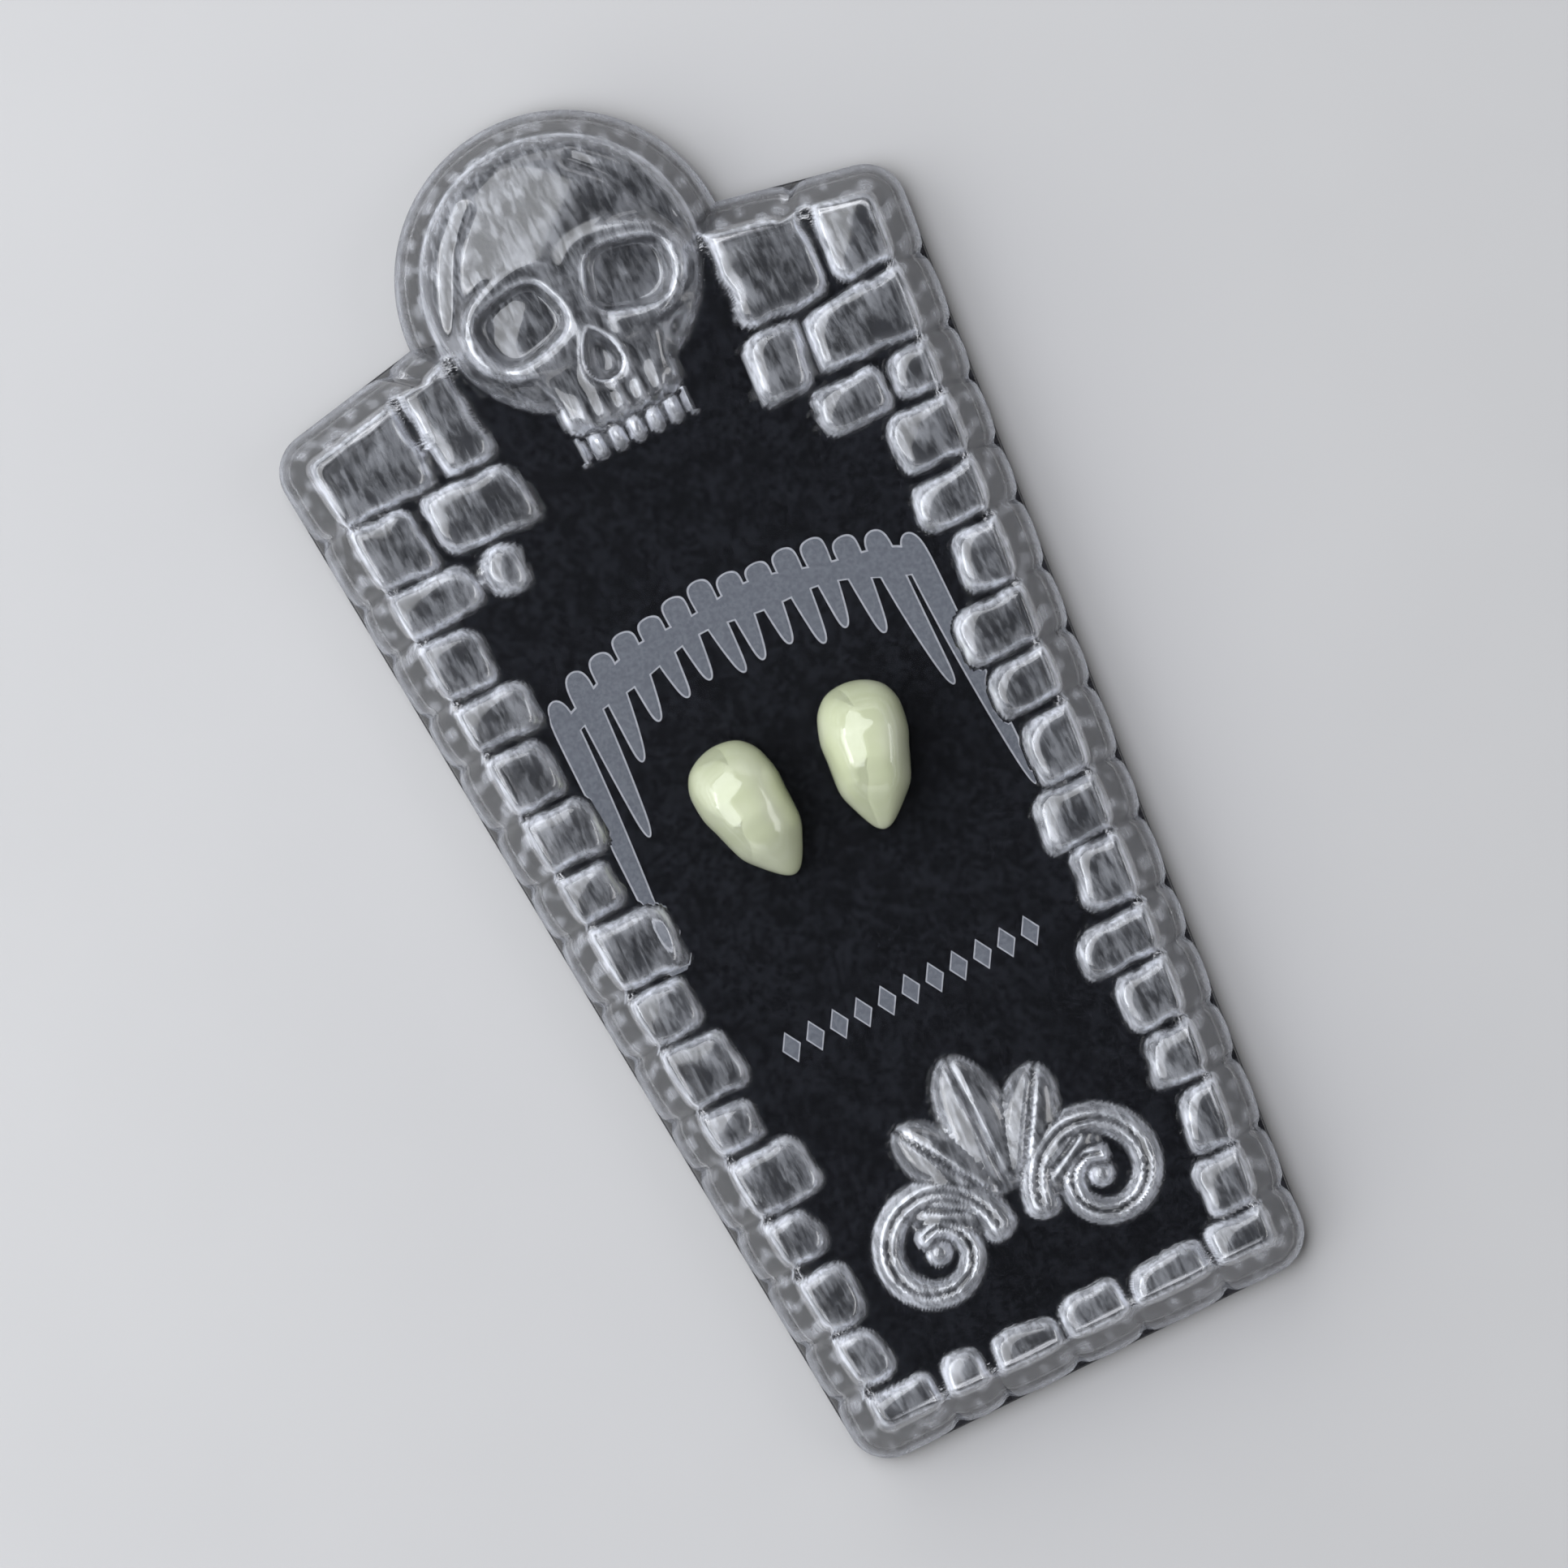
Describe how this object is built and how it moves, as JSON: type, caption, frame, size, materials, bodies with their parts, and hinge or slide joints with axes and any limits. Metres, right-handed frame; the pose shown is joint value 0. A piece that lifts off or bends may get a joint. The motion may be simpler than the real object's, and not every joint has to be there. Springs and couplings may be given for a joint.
{
  "type": "pair of vampire fang caps in a clear coffin-shaped display case",
  "caption": "Pair of hollow vampire fang caps lying on a black card inside a clear coffin-shaped case with cast stones, a skull and scrolls.",
  "frame": {"origin": "under the middle of the case, on the surface that it lies on", "axes": "+X to the case's right seen through the window, +Y from the foot to the head, +Z out through the window"},
  "size_m": [0.065, 0.1296, 0.0184],
  "materials": {
    "fang_enamel": "pale greenish glow acrylic, polished",
    "black_card": "matt black card with a silver-grey print",
    "black_plastic": "black moulded polystyrene",
    "clear_plastic": "clear moulded polystyrene"
  },
  "bodies": {
    "root": {"fang_left": "fang_enamel", "fang_right": "fang_enamel", "insert_card": "black_card", "case_base": "black_plastic", "case_cover": "clear_plastic"}
  },
  "joints": []
}
